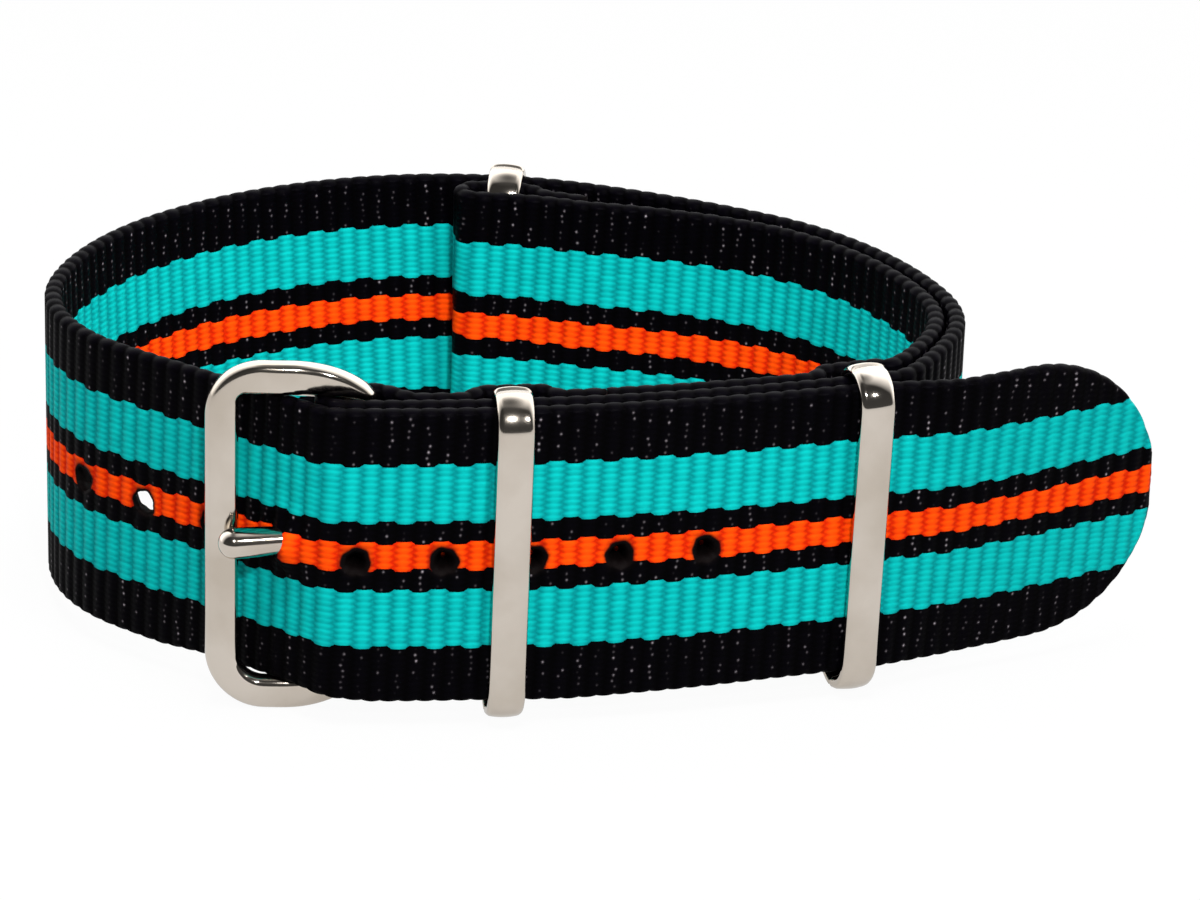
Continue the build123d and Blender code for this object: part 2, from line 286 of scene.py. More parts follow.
def frame_outlines(inner_corner):
    """Matching points on the outer and inner outline of the frame's upper half, from ear to middle."""
    half = frame_height / 2
    inner = half - side_bar
    ear_arc = (ear_reach - ear_slope, half - ear_round)
    ear_end = asin((inner - ear_lip - ear_arc[1]) / ear_round)
    pairs = []
    for share in np.linspace(0, 1, 20) ** 1.4:
        angle = ear_end + ear_tip_angle + share * (pi / 2 - ear_end - ear_tip_angle)
        outer_point = (ear_arc[0] + ear_slope * cos(angle), ear_arc[1] + ear_round * sin(angle))
        pairs.append((outer_point, (outer_point[0] - ear_inset, inner - ear_lip * (1 - share) ** 1.6)))
    corner = (frame_corner - frame_reach, half - frame_corner)
    window = (inner_corner - bar_inner, inner - inner_corner)
    for share in np.linspace(0, 1, 8)[1:-1]:
        pairs.append((
            (ear_arc[0] + share * (corner[0] - ear_arc[0]), half),
            (ear_arc[0] - ear_inset + share * (window[0] - ear_arc[0] + ear_inset), inner),
        ))
    for angle in np.linspace(pi / 2, pi, 18):
        pairs.append((
            (corner[0] + frame_corner * cos(angle), corner[1] + frame_corner * sin(angle)),
            (window[0] + inner_corner * cos(angle), window[1] + inner_corner * sin(angle)),
        ))
    for share in np.linspace(0, 1, 10)[1:]:
        pairs.append(((-frame_reach, corner[1] * (1 - share)), (-bar_inner, window[1] * (1 - share))))
    return pairs


def buckle_frame_mesh():
    """The frame's rings, from the upper ear round the front bar to the lower ear."""
    upper = frame_outlines(window_corner)
    below = frame_outlines(lower_window_corner)
    lower = [((ox, -oz), (ix, -iz)) for (ox, oz), (ix, iz) in reversed(below[:-1])]
    points = []
    pairs = upper + lower
    ear_tip = pairs[0][0][0]
    for outer_point, inner_point in pairs:
        width = np.hypot(outer_point[0] - inner_point[0], outer_point[1] - inner_point[1])
        from_end = min(1, (ear_tip - outer_point[0]) / ear_thinning)
        swell = sqrt(max(0.03, 1 - (1 - from_end) ** 2))
        edge = min(frame_edge, width * 0.45, swell * 0.7)
        for across, depth in rounded_section(width / 2, swell * frame_thickness / 2, edge):
            share = 0.5 + across / width
            x = inner_point[0] + share * (outer_point[0] - inner_point[0])
            z = inner_point[1] + share * (outer_point[1] - inner_point[1])
            points.append(in_front_view(x, z, depth))
    return points, joined_rings(len(pairs), len(points) // len(pairs))


buckle_frame = plain_mesh("buckle_frame_steel", *buckle_frame_mesh(), polished_steel)
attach(buckle_frame, "buckle")
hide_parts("buckle_frame")


# Tongue: turned and bent from stainless wire, with an eye closed round the pin. The arm leans out
# through a hole of the tail, swells towards its tip and rests on the frame's front bar.
tongue_neck = 2.0
tongue_tip = 2.25
tongue_lift = 0.4
eye_clearance = 0.06
eye_wall = 0.8
eye_edge = 0.3
tongue_inset = 0.65
tongue_reach = frame_reach - tongue_inset
arm_heading = radians(200.2)
crossing = 3.868


def eased(value):
    """0 below 0, 1 above 1 and a smooth rise between."""
    value = np.clip(value, 0, 1)
    return value * value * (3 - 2 * value)


def tongue_mesh():
    """The eye's band and the arm turned round its own axis."""
    points = []
    inner = pin_diameter / 2 + eye_clearance
    eye_steps = 40
    for step in range(eye_steps):
        turn = 2 * pi * step / eye_steps
        for along, outwards in rounded_section(tongue_neck / 2, eye_wall / 2, eye_edge):
            reach = inner + eye_wall / 2 + outwards
            points.append((
                hinge_x + reach * cos(turn),
                hinge_y + reach * sin(turn),
                strap_middle + along,
            ))
    ring = len(points) // eye_steps
    faces = joined_rings(eye_steps, ring, closed=True)
    swell = tongue_reach - tongue_tip / 2
    profile = [(0.75, tongue_neck / 2 - 0.1), (1.4, tongue_neck / 2), (crossing, tongue_neck / 2)]
    for share in np.linspace(0, 1, 8)[1:]:
        profile.append((
            crossing + share * (swell - crossing),
            (tongue_neck + eased(share) * (tongue_tip - tongue_neck)) / 2,
        ))
    for angle in np.linspace(0, pi / 2, 12)[1:-1]:
        profile.append((swell + tongue_tip / 2 * sin(angle), tongue_tip / 2 * cos(angle)))
    profile.append((tongue_reach, 0.02))
    start = len(points)
    along = (cos(arm_heading), sin(arm_heading))
    for distance, radius in profile:
        for step in range(wire_sides):
            turn = 2 * pi * step / wire_sides
            sideways = radius * cos(turn)
            points.append((
                hinge_x + distance * along[0] - sideways * along[1],
                hinge_y + distance * along[1] + sideways * along[0],
                strap_middle + radius * sin(turn) + tongue_lift * distance / tongue_reach,
            ))
    faces += [tuple(start + k for k in face) for face in joined_rings(len(profile), wire_sides)]
    return points, faces


tongue = plain_mesh("buckle_tongue_steel", *tongue_mesh(), polished_steel)
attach(tongue, "tongue")
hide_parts("buckle_tongue")


# Long strap: one length of ribbed nylon webbing, woven black with turquoise bands and an orange
# middle. It is cut and its holes are melted with a hot tool; its flap is welded to the second layer.
worn_width = 22.34
strap_drop = 0.17
sag_at = [31, 41, 46, 52, 60, 66]
sag_by = [0, 0.2, 0.32, 0.15, 0.12, 0]
drawn_up_at = [60, 66, 73, 78]
drawn_up_by = [0, 0.45, 0.45, 0]
tail_length = 62.3
tip_length = 10.4
tip_skew = 0.09
front_radius = 128.0
loop_radius = 30.0
approach_angle = radians(35.0)
approach_length = 13.4
hole_diameter = 1.8
hole_pitch = 6.3
hole_taper = 0.2
open_hole_taper = 1.5
open_hole_shift = -0.6
seen_hole = -2
seen_hole_shift = -0.9
seen_hole_lean = -0.6
seen_hole_taper = 1.15
front_hole_shift = -0.75
holes_before_tongue = 3
holes_after_tongue = 5
used_hole_length = 1.9
used_hole_shift = -0.75
tongue_bulge = 0.95
hole_drop = 0.25
hole_cells = 8
rim_cells = 4
rim_melt = (1, 0.25, 0, 0, 0)
slot_cells = 6
slot_melt = 0.8
second_layer = webbing + layer_gap
second_back = second_layer + webbing
keeper_width = 2.65
keeper_band = 1.1
pocket_slack = 0.2
pocket = keeper_band + pocket_slack
pocket_half = 2.0
ramp_slope = radians(36.0)
ramp = pocket / tan(ramp_slope)
keeper_front_at = 12.2
keeper_middle_at = 38.4
keeper_end_at = 62.7
flap_weld = 3.0
flap_length = keeper_front_at + pocket_half + ramp + flap_weld
loop_start = keeper_middle_at + pocket_half
eye_room = 0.4
fold_run = pin_diameter / 2 + eye_clearance + eye_wall + eye_room
loop_bend_shares = [
    (0.1243, 0.14),
    (0.0403, 1.15),
    (0.1266, 0.47),
    (0.1338, 1.00),
    (0.0363, 2.64),
    (0.1984, None),
    (0.1366, 0.97),
    (0.1931, None),
    (0.0106, 3.00),
]
rib_pitch = 1.3
rib_depth = 0.16
rib_skew = 0.04
rows_per_rib = 6
selvedge = 0.42
thread_pitch = 0.2275
back_turn = 0.6
left_push = 0.2
front_centre_x = hinge_x - (front_radius - tail_over_pin) * sin(front_heading)
front_centre_y = hinge_y + (front_radius - tail_over_pin) * cos(front_heading)


def front(distance, depth):
    """A point on the front, by distance from the pin and depth below the tail's outer face."""
    angle = front_heading + distance / front_radius
    radius = front_radius - depth
    return front_centre_x + radius * sin(angle), front_centre_y - radius * cos(angle)


def about_pin(angle, radius):
    """A point round the pin, by angle from straight outwards."""
    turn = front_heading + angle
    return hinge_x + radius * sin(turn), hinge_y - radius * cos(turn)


def approach(distance, depth):
    """A point on the straight run in to the buckle, measured back from the pin's bend."""
    radius = tail_over_pin - depth
    return (
        hinge_x - radius * sin(approach_angle) - distance * cos(approach_angle),
        hinge_y - radius * cos(approach_angle) + distance * sin(approach_angle),
    )


def bends_of_loop():
    """The loop's bends as centre, first and last heading, and radius; two radii close the loop."""
    place = np.array(front(loop_start, second_layer))
    facing = front_heading + loop_start / front_radius
    whole = 2 * pi - approach_angle - facing
    left = np.array(approach(approach_length, 0)) - place
    steps = []
    for turn_share, radius_share in loop_bend_shares:
        onward = facing + turn_share * whole
        step = np.array([sin(onward) - sin(facing), cos(facing) - cos(onward)])
        steps.append((facing, onward, radius_share, step))
        if radius_share is not None:
            left = left - radius_share * loop_radius * step
        facing = onward
    unsized = np.array([step for _, _, radius_share, step in steps if radius_share is None])
    sized = list(np.linalg.solve(unsized.T, left))
    found = []
    for facing, onward, radius_share, step in steps:
        radius = sized.pop(0) if radius_share is None else radius_share * loop_radius
        found.append((place + radius * np.array([-sin(facing), cos(facing)]), facing, onward, radius))
        place = place + radius * step
    return found


loop_bends = bends_of_loop()
outer_length = sum(radius * (onward - facing) for _, facing, onward, radius in loop_bends)


def loop_turn(distance):
    """The bend's centre and radius, and the heading, at a distance along the loop's outer face."""
    for centre, facing, onward, radius in loop_bends:
        length = radius * (onward - facing)
        if distance <= length or onward == loop_bends[-1][2]:
            return centre, radius, facing + distance / radius
        distance -= length


def loop(distance, depth):
    """A point on the loop, by distance from the middle keeper and depth below its outer face."""
    centre, radius, angle = loop_turn(distance)
    return centre[0] + (radius - depth) * sin(angle), centre[1] - (radius - depth) * cos(angle)


def tail_spot(distance):
    """A point in the middle of the tail's thickness, by distance beyond the hole in use."""
    depth = webbing / 2
    crossing_back = -crossing * cos(arm_heading + approach_angle)
    bend = (approach_angle + front_heading) * tail_over_pin
    onto_front = distance - crossing_back
    if onto_front < -approach_length:
        return loop(outer_length + onto_front + approach_length, depth)
    if onto_front < 0:
        return approach(-onto_front, depth)
    if onto_front < bend:
        return about_pin(onto_front / tail_over_pin - approach_angle - front_heading, tail_over_pin - depth)
    return front(onto_front - bend, depth)


def run(function, start, end, step=0.1):
    """Points of a plan function from start to end."""
    count = max(3, int(abs(end - start) / step) + 1)
    return [function(value) for value in np.linspace(start, end, count)]


def settled(x, y):
    """Where a plan point of the loop's back comes to rest: a little turned and wider on the left."""
    at_back = np.clip(y / 15, 0, 1)
    at_left = np.clip((-30 - x) / 10, 0, 1)
    turned = back_turn * np.clip((x + 3) / 20, -1, 1) * at_back
    return x - left_push * at_left, y + turned * np.clip((40 - x) / 8, 0, 1)


class StrapPath:
    """A strap's middle line in plan, evened out so that it has no kinks."""

    def __init__(self, points, smoothing):
        points = np.stack(settled(*np.array(points).T), axis=1)
        apart = np.hypot(*np.diff(points, axis=0).T)
        points = points[np.concatenate([[True], apart > 1e-6])]
        at = np.concatenate([[0], np.cumsum(np.hypot(*np.diff(points, axis=0).T))])
        even = np.linspace(0, at[-1], int(at[-1] / 0.1))
        points = np.stack([np.interp(even, at, points[:, k]) for k in (0, 1)], axis=1)
        for _ in range(smoothing):
            points[1:-1] = (points[:-2] + 2 * points[1:-1] + points[2:]) / 4
        self.points = points
        self.at = np.concatenate([[0], np.cumsum(np.hypot(*np.diff(points, axis=0).T))])
        self.length = self.at[-1]
        steps = np.gradient(points, self.at, axis=0)
        self.heading = np.unwrap(np.arctan2(steps[:, 1], steps[:, 0]))

    def place(self, distance, outwards):
        """Plan points at distances along the line, moved out of the strap's outer side."""
        x = np.interp(distance, self.at, self.points[:, 0])
        y = np.interp(distance, self.at, self.points[:, 1])
        heading = np.interp(distance, self.at, self.heading)
        return x - outwards * np.sin(heading), y + outwards * np.cos(heading)

    def nearest(self, spot, first, last):
        """The distance along the line, between two limits, that comes nearest to a spot."""
        inside = (self.at >= first) & (self.at <= last)
        apart = np.hypot(self.points[:, 0] - spot[0], self.points[:, 1] - spot[1])
        return self.at[np.argmin(np.where(inside, apart, np.inf))]


def long_strap_path():
    """Middle of the long strap, from the tail's tip to the free end of its flap."""
    half = webbing / 2
    points = run(lambda d: front(d, half), tail_length, 0)
    points += run(lambda a: about_pin(a, tail_over_pin - half), 0, -approach_angle - front_heading, 0.02)
    points += run(lambda d: approach(d, half), 0, approach_length)
    points += run(lambda d: loop(d, half), outer_length, 0)
    points += run(lambda d: front(d, second_layer + half), loop_start, 0)
    points += run(lambda a: about_pin(a, fold_outer - half), 0, -pi, 0.02)

    def flap(distance):
        over_fold = 2 * fold_inner * eased((5.4 - distance) / 3.2)
        to_keeper = (pocket_half + ramp - abs(distance - keeper_front_at)) / ramp
        return front(distance, second_back + over_fold + pocket * eased(to_keeper) + half)

    points += run(flap, 0, flap_length)
    return StrapPath(points, 8)


def column_places():
    """Where the columns of the mesh stand across the strap, close together where the holes are."""
    middle = np.arange(-hole_cells, hole_cells + 1) * 0.26
    outer = np.array([3.0, 4.1, 5.3, 6.6, 8.0, 9.3, 10.3, worn_width / 2 - selvedge])
    return np.concatenate([-outer[::-1], middle, outer])


def cut_out(at, columns, holes, slots):
    """The strip's flat grid on its front and back, drawn round the holes.

    With it comes how far each point is slanted, how melted it is, and which cells are cut away.
    """
    along, across = np.meshgrid(at, columns, indexing="ij")
    along_back, across_back = along.copy(), across.copy()
    slant = np.zeros_like(along)
    melt = np.zeros_like(along)
    cut = np.zeros((len(at) - 1, len(columns) - 1), bool)
    middle = len(columns) // 2
    for number, (spot, half_length, lean_along, taper) in enumerate(holes):
        row = int(np.argmin(abs(at - spot)))
        stretch = max(0, half_length - hole_diameter / 2)
        more_rows = int(round(stretch / (at[20] - at[19])))
        for i in range(-hole_cells - more_rows, hole_cells + more_rows + 1):
            for j in range(-hole_cells, hole_cells + 1):
                level = max(abs(i) - more_rows, abs(j)) - rim_cells
                if level < 0:
                    continue
                here = (row + i, middle + j)
                u = along[here] - spot
                v = across[here]
                straight = max(-stretch, min(stretch, u))
                span = sqrt((u - straight) ** 2 + v * v)
                around = np.arctan2(v, u - straight)
                ragged = 1 + 0.06 * sin(3 * around + 2.1 * number) + 0.04 * sin(7 * around + number)
                outside = level / (hole_cells - rim_cells)
                blend = outside**1.5
                for side_along, side_across, mouth in (
                    (along, across, 1), (along_back, across_back, taper),
                ):
                    level_radius = hole_diameter / 2 * ragged * mouth + outside
                    factor = level_radius / span * (1 - blend) + blend
                    side_along[here] = spot + straight + (u - straight) * factor
                    side_across[here] = v * factor - hole_drop * (1 - blend)
                melt[here] = rim_melt[level]
                slant[here] = lean_along * (1 - blend)
        rim_rows = rim_cells + more_rows
        cut[row - rim_rows:row + rim_rows, middle - rim_cells:middle + rim_cells] = True
    for first, last in slots:
        near, far = (int(np.argmin(abs(at - edge))) for edge in (first, last))
        cut[near:far, middle - slot_cells:middle + slot_cells] = True
        melt[near:far + 1, middle - slot_cells:middle + slot_cells + 1] = slot_melt
    return along, across, along_back, across_back, slant, melt, cut


def webbing_faces(row_count, size, cut, back_start):
    """Quads round a strip of rings, its two ends, and the walls of what is cut through it."""
    count = cut.shape[1] + 1
    faces = []
    for row in range(row_count - 1):
        for k in range(size):
            after = (k + 1) % size
            column = None
            if k < count - 1:
                column = k
            elif back_start <= k < back_start + count - 1:
                column = back_start + count - 2 - k
            if column is not None and cut[row, column]:
                continue
            here, there = row * size, (row + 1) * size
            faces.append((here + k, here + after, there + after, there + k))
    faces.append(tuple(range(size)))
    faces.append(tuple(range((row_count - 1) * size, row_count * size)))

    def wall(first, second):
        on_front = [row * size + column for row, column in (first, second)]
        on_back = [row * size + back_start + count - 1 - column for row, column in (second, first)]
        faces.append(tuple(on_front + on_back))

    padded = np.pad(cut, 1)
    for row in range(row_count):
        for column in range(count):
            if column < count - 1 and padded[row, column + 1] != padded[row + 1, column + 1]:
                wall((row, column), (row, column + 1))
            if row < row_count - 1 and padded[row + 1, column] != padded[row + 1, column + 1]:
                wall((row, column), (row + 1, column))
    return faces


def webbing_mesh(name, path, material, lean=None, holes=(), slots=(), bulge=None, rounded_tip=False):
    """A ribbed strip along a path, with its melted holes, slots and woven edges.

    Each hole is a distance, half its length, how far its front opening stands off to the side of its
    back one, and the back one's width as a share of its own; each slot is a first and last distance.
    """
    rows = int(round(path.length / rib_pitch * rows_per_rib))
    at = np.linspace(0, path.length, rows + 1)
    if rounded_tip:
        at = np.concatenate([[0, 0.03, 0.09], at[1:]])
    columns = column_places()
    along, across, along_back, across_back, slant, melt, cut = cut_out(at, columns, holes, slots)

    phase = (along + rib_skew * across) / rib_pitch
    crest = abs(np.sin(pi * phase)) ** 0.7
    crest = crest * (1 - melt) + 0.7 * melt
    half_width = np.full(len(at), worn_width / 2)
    if rounded_tip:
        inside = np.clip(1 - at / tip_length, 0, 1)
        half_width = worn_width / 2 * np.sqrt(np.maximum(1e-3, 1 - inside**2))
    narrowing = half_width / (worn_width / 2)
    across = across * narrowing[:, None]
    across_back = across_back * narrowing[:, None]
    if rounded_tip:
        near_tip = np.clip(2 - at / tip_length, 0, 1)
        along = along + tip_skew * across * near_tip[:, None]
        along_back = along_back + tip_skew * across_back * near_tip[:, None]
    thickness = webbing / 2 - rib_depth * (1 - crest)
    ends = np.minimum(at, path.length - at)
    end_round = np.sqrt(1 - (1 - np.clip(ends / 0.5, 0.12, 1)) ** 2)
    thickness = thickness * end_round[:, None]
    from_side = half_width[:, None] - abs(across)
    cut_edge = 0.3 * np.clip(1 - ends / 0.5, 0, 1)
    melt = np.maximum(melt, cut_edge[:, None])
    if rounded_tip:
        on_tip = (at < tip_length - 1.5)[:, None]
        melt = np.maximum(melt, np.where(on_tip, 0.3 * np.clip(1 - from_side / 0.5, 0, 1), 0))

    edge_angles = np.linspace(pi / 2, -pi / 2, 7)[1:-1]
    edge_crest = crest[:, -1]
    ring_parts = [(along + slant / 2, across, thickness, melt)]
    for side in (1, -1):
        angles = edge_angles if side > 0 else -edge_angles
        reach = (selvedge - 0.07 * (1 - edge_crest)) * np.minimum(1, narrowing * 1.5)
        base = across[:, -1] if side > 0 else across[:, 0]
        edge_along = along[:, -1] if side > 0 else along[:, 0]
        part = (
            np.repeat(edge_along[:, None], len(angles), axis=1),
            base[:, None] + side * reach[:, None] * np.cos(angles)[None, :],
            thickness[:, -1][:, None] * np.sin(angles)[None, :],
            np.repeat(melt[:, -1][:, None], len(angles), axis=1),
        )
        ring_parts.append(part)
        if side > 0:
            back = along_back - slant / 2
            ring_parts.append((back[:, ::-1], across_back[:, ::-1], -thickness[:, ::-1], melt[:, ::-1]))
    s, z, n, m = (np.concatenate([part[k] for part in ring_parts], axis=1) for k in range(4))
    raised = z - strap_drop
    weave = np.stack([s + rib_skew * z, raised, m], axis=2).reshape(-1, 3)
    if bulge is not None:
        edge, height, reach = bulge
        beyond = np.clip((edge + 0.9 - s) / 0.6, 0, 1)
        n = n + height * beyond * np.exp(-((s - edge) / reach) ** 2 - (z / reach) ** 2)
    if lean is not None:
        n = n + z * np.tan(lean(s))
        raised = raised + tail_lift(s)
        raised = raised - np.interp(s, sag_at, sag_by) * np.clip(-z / 8, 0, 1)
        raised = raised + np.interp(s, drawn_up_at, drawn_up_by) * np.clip((-z - 5.5) / 5, 0, 1)
    x, y = path.place(s, n)
    points = np.stack([x, y, strap_middle + raised], axis=2).reshape(-1, 3)
    faces = webbing_faces(len(at), s.shape[1], cut, len(columns) + len(edge_angles))
    return plain_mesh(name, points, faces, material, weave)


def rib_weave():
    """Node group: the floats of a ribbed weave, where neighbouring threads take turns on top.

    It reads the webbing's weave attribute: distance along, place across and melting. A thread's
    number counts both ways from the middle. Height is 1 on a float's middle and 0 between floats, and
    crest is 1 along the top of each rib.
    """
    group, tree, given, put_out = node_group(
        "rib_weave",
        {
            "Weave": (0.0, 0.0, 0.0),
            "Rib pitch": rib_pitch,
            "Thread pitch": thread_pitch,
            "Side threads": 0.28,
            "Glint length": 8.0,
        },
        ["Thread", "Height", "Crest", "Glint", "Float noise", "Thread noise", "Melt"],
    )
    parts = tree.add("ShaderNodeSeparateXYZ", {"Vector": given["Weave"]}).outputs
    rib = tree.math("DIVIDE", parts["X"], given["Rib pitch"])
    rib_number = tree.math("FLOOR", rib)
    thread = tree.math("DIVIDE", parts["Y"], given["Thread pitch"])
    rib_wave = tree.math("SINE", tree.math("MULTIPLY", rib, pi))
    thread_wave = tree.math("COSINE", tree.math("MULTIPLY", thread, pi))
    side = tree.math("MULTIPLY", thread_wave, given["Side threads"])
    rise = tree.math("ADD", rib_wave, side)
    half = tree.math("MULTIPLY", thread, 0.5)
    even = tree.math("MULTIPLY", tree.math("ROUND", half), 2.0)
    odd = tree.math("MULTIPLY_ADD", tree.math("FLOOR", half), 2.0, 1.0)
    even_on_top = tree.math("GREATER_THAN", rise, 0.0)
    number = tree.math("MULTIPLY_ADD", tree.math("SUBTRACT", even, odd), even_on_top, odd)
    tallest = tree.math("ADD", given["Side threads"], 1.0)
    height = tree.math("DIVIDE", tree.math("ABSOLUTE", rise), tallest)
    cell = tree.add("ShaderNodeCombineXYZ", {"X": rib_number, "Y": number})
    float_noise = tree.add("ShaderNodeTexWhiteNoise", {"Vector": cell.outputs["Vector"]}).outputs
    chances = tree.add("ShaderNodeSeparateColor", {"Color": float_noise["Color"]}).outputs
    # Painted highlight: the glint mask puts small light specks into the colour on the tops of black floats
    # along the rib crests.
    aside = tree.math("MULTIPLY_ADD", chances["Green"], 0.8, -0.4)
    beside = tree.math("SINE", tree.math("MULTIPLY_ADD", rib, pi, aside))
    on_crest = tree.math("POWER", tree.math("ABSOLUTE", beside), 60.0)
    painted_glint_spot = tree.math("MULTIPLY", on_crest, tree.math("POWER", height, given["Glint length"]))
    chance = tree.math("MULTIPLY_ADD", chances["Blue"], 1.25, -0.25, clamp=True)
    rib_noise = tree.add("ShaderNodeTexWhiteNoise", {"W": rib_number}, noise_dimensions="1D")
    rib_share = tree.math("MULTIPLY_ADD", rib_noise.outputs["Value"], 1.1, 0.1)
    chance = tree.math("MULTIPLY", tree.math("POWER", chance, 2.4), rib_share)
    along = tree.add("ShaderNodeCombineXYZ", {
        "X": tree.math("MULTIPLY", parts["X"], 0.12), "Y": tree.math("MULTIPLY", number, 3.7),
    })
    thread_noise = tree.add(
        "ShaderNodeTexNoise", {"Vector": along.outputs["Vector"], "Scale": 1.0}, noise_dimensions="2D",
    )
    tree.fill(put_out, {
        "Thread": tree.math("ABSOLUTE", number),
        "Height": height,
        "Crest": tree.math("ABSOLUTE", rib_wave),
        "Glint": tree.math("MULTIPLY", painted_glint_spot, chance),
        "Float noise": float_noise["Value"],
        "Thread noise": thread_noise.outputs["Fac"],
        "Melt": parts["Z"],
    })
    return group


# Stripes from the middle outwards: last thread, colour in the grooves with painted shade and colour on the
# crests with painted light
stripes_shaded_and_lit = [
    (4.5, (0.55, 0.015, 0.001, 1), (0.92, 0.07, 0.002, 1)),
    (11.5, (0.0002, 0.0001, 0.0003, 1), (0.0007, 0.0005, 0.0012, 1)),
    (30.5, (0.001, 0.23, 0.235, 1), (0.002, 0.43, 0.41, 1)),
    (48.5, (0.0002, 0.0001, 0.0003, 1), (0.0007, 0.0005, 0.0012, 1)),
]
# The same bands, split where the painted glints end: last thread, and 1 where its black floats can show a
# painted glint
painted_glint_threads = [(4.5, 0), (11.5, 1), (30.5, 0), (46.5, 1), (48.5, 0)]
painted_glint_colour = (0.34, 0.30, 0.33, 1)
melted_colour = (0.003, 0.002, 0.002, 1)
weave_depth = 0.08


def colour_ramp(tree, share, stops, change="LINEAR"):
    """A colour by a share from 0 to 1, given as places and their colours."""
    node = tree.add("ShaderNodeValToRGB", {"Fac": share})
    node.color_ramp.interpolation = change
    marks = node.color_ramp.elements
    for mark, (place, colour) in ((marks[0], stops[0]), (marks[1], stops[-1])):
        mark.position = place
        mark.color = colour
    for place, colour in stops[1:-1]:
        marks.new(place).color = colour
    return node.outputs["Color"]


def stripe_ramp(tree, thread, bands):
    """A colour for each band of threads, from the middle thread to the edge."""
    last = bands[-1][0]
    starts = [0] + [edge / last for edge, _ in bands[:-1]]
    stops = [(start, colour) for start, (_, colour) in zip(starts, bands)]
    return colour_ramp(tree, tree.math("DIVIDE", thread, last), stops, "CONSTANT")


def woven_nylon():
    """Ribbed nylon: coloured floats with painted shade in the grooves, painted glints on the black ones,
    fused where melted.
    """
    material, tree, surface = new_material("striped_nylon")
    read = tree.add("ShaderNodeAttribute", {}, attribute_name="weave").outputs["Vector"]
    weave = tree.add("ShaderNodeGroup", {"Weave": read}, node_tree=rib_weave()).outputs
    thread, height, crest_line = (weave[label] for label in ("Thread", "Height", "Crest"))

    shaded_groove = stripe_ramp(tree, thread, [(edge, low) for edge, low, _ in stripes_shaded_and_lit])
    crest = stripe_ramp(tree, thread, [(edge, high) for edge, _, high in stripes_shaded_and_lit])
    shows_painted_glint = stripe_ramp(tree, thread, [(edge, (on, on, on, 1)) for edge, on in painted_glint_threads])
    lift = tree.math("MULTIPLY_ADD", weave["Float noise"], 0.26, -0.17)
    wander = tree.math("MULTIPLY_ADD", weave["Thread noise"], 0.3, -0.15)
    varied = tree.math("ADD", lift, wander)
    # Painted light and shade: floats are brighter at their middles and along the rib crests, and darker
    # between floats and in the grooves, all in the base colour.
    full = tree.add(
        "ShaderNodeMapRange", {"Value": height, "From Min": -0.12, "From Max": 0.8},
        interpolation_type="SMOOTHSTEP",
    )
    rib_shade = tree.math("MULTIPLY_ADD", crest_line, 0.55, 0.45)
    painted_shading = tree.math("MULTIPLY", full.outputs["Result"], rib_shade)
    colour = tree.mixed(tree.math("ADD", painted_shading, varied, clamp=True), shaded_groove, crest)
    # Painted highlight: the glint specks are light put into the base colour, not made by the lamps.
    colour = tree.mixed(tree.math("MULTIPLY", weave["Glint"], shows_painted_glint), colour, painted_glint_colour)
    fused = tree.math("MULTIPLY", weave["Melt"], 1.6, clamp=True)

    kept = tree.math("SUBTRACT", 1.0, weave["Melt"], clamp=True)
    relief = tree.math("MULTIPLY_ADD", crest_line, 0.8, tree.math("MULTIPLY", height, 0.8))
    bump = tree.add("ShaderNodeBump", {
        "Strength": 0.55,
        "Distance": weave_depth * MM,
        "Height": tree.math("MULTIPLY", relief, kept),
    })
    tree.fill(surface.inputs, {
        "Base Color": tree.mixed(fused, colour, melted_colour),
        "Specular IOR Level": 0.02,
        "Roughness": tree.math("MULTIPLY_ADD", height, -0.15, 0.62),
        "Normal": bump.outputs["Normal"],
    })
    return material


striped_nylon = woven_nylon()
long_path = long_strap_path()
holes = []
for number in range(-holes_before_tongue, holes_after_tongue + 1):
    spot = long_path.nearest(tail_spot(number * hole_pitch), 0, 110)
    if number == 0:
        tongue_lean = webbing / tan(arm_heading + approach_angle - pi)
        holes.append((spot - used_hole_shift, used_hole_length / 2, tongue_lean, 1))
        over_tongue = (spot + 0.2, tongue_bulge, 1.6)
    elif number == seen_hole:
        holes.append((spot - seen_hole_shift, hole_diameter / 2, seen_hole_lean, seen_hole_taper))
    else:
        shift = front_hole_shift if number > 0 else open_hole_shift
        taper = hole_taper if number > 0 else open_hole_taper
        holes.append((spot - shift, hole_diameter / 2, 0, taper))
slot_start = long_path.nearest(front(fold_run, second_layer + webbing / 2), 160, long_path.length)
slot_end = slot_start + 2 * fold_run + pi * (fold_outer - webbing / 2)


def tail_lean(distance):
    """Beyond the middle keeper the free tail leans with its upper edge outwards."""
    return radians(4.4) * eased((24.5 - distance) / 9)


def tail_lift(distance):
    """The free tail hangs a little beyond the middle keeper and rises again to its tip."""
    return np.interp(distance, [0, 6, 17, 25], [0.25, 0.15, -0.25, 0])


long_strap = webbing_mesh(
    "long_strap_webbing", long_path, striped_nylon,
    lean=tail_lean, holes=holes, slots=[(slot_start, slot_end)], bulge=over_tongue, rounded_tip=True,
)
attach(long_strap, "strap")
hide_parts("long_strap")


# Short strap: a second length of the same webbing. It is welded to the long strap on both sides of
# the middle keeper, lies inside the loop, and its end is folded round the end keeper and welded.
short_start = flap_length + 0.1
end_lap = 7.8
weld_gap = 0.02
end_fold_inner = keeper_band / 2 + 0.1
end_fold_middle = second_back + end_fold_inner
end_near = end_fold_middle + end_fold_inner
near_face_shares = [
    (0.025, 1.80), (0.05, 1.45), (0.09, 1.22), (0.15, 1.18), (0.27, 1.18), (0.40, 1.18),
    (0.50, 1.23), (0.60, 1.37), (0.70, 1.56), (0.80, 1.90), (0.90, 2.50),
]


